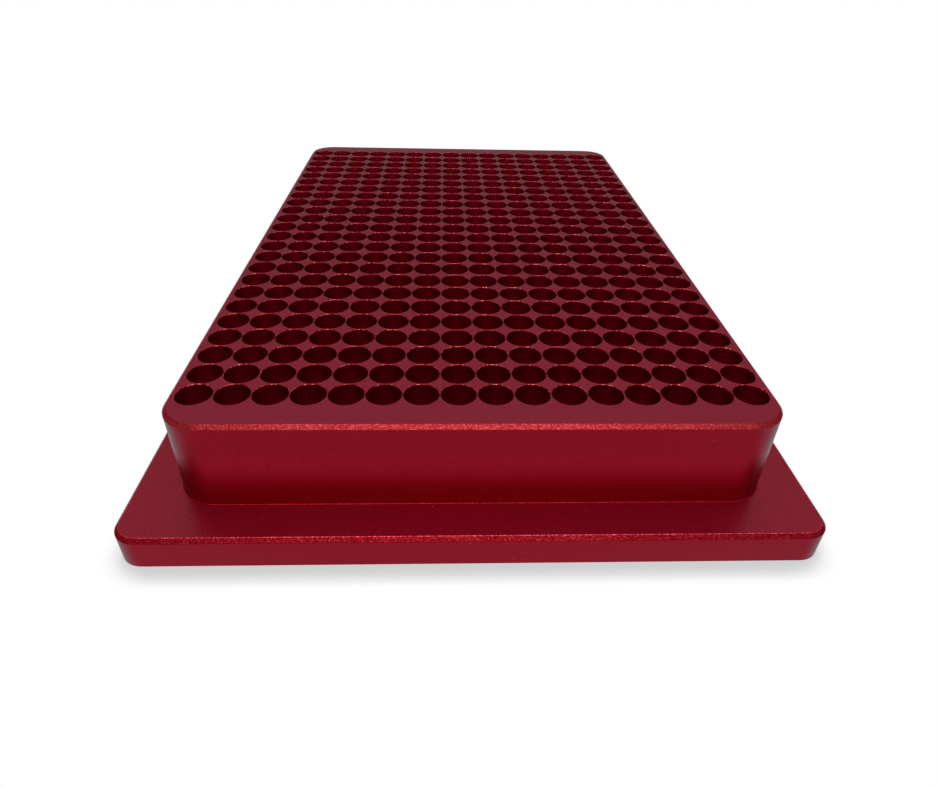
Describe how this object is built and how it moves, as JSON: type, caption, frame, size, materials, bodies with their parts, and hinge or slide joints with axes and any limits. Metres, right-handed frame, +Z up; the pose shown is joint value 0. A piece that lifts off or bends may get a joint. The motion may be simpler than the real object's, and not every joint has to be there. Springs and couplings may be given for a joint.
{
  "type": "cold block",
  "caption": "Stepped rectangular block of red anodised aluminium with a close grid of small tapered wells, chilled beforehand to keep a well plate cold on the bench.",
  "frame": {"origin": "middle of the flat underside", "axes": "+X along a row of wells, across the block's short side; +Y along a column of wells, along its long side; +Z up, out of the wells"},
  "size_m": [0.0854, 0.1278, 0.0163],
  "materials": {
    "anodised_aluminium": "satin, blasted and anodised deep red"
  },
  "bodies": {
    "root": {"cold_block": "anodised_aluminium"}
  },
  "joints": []
}
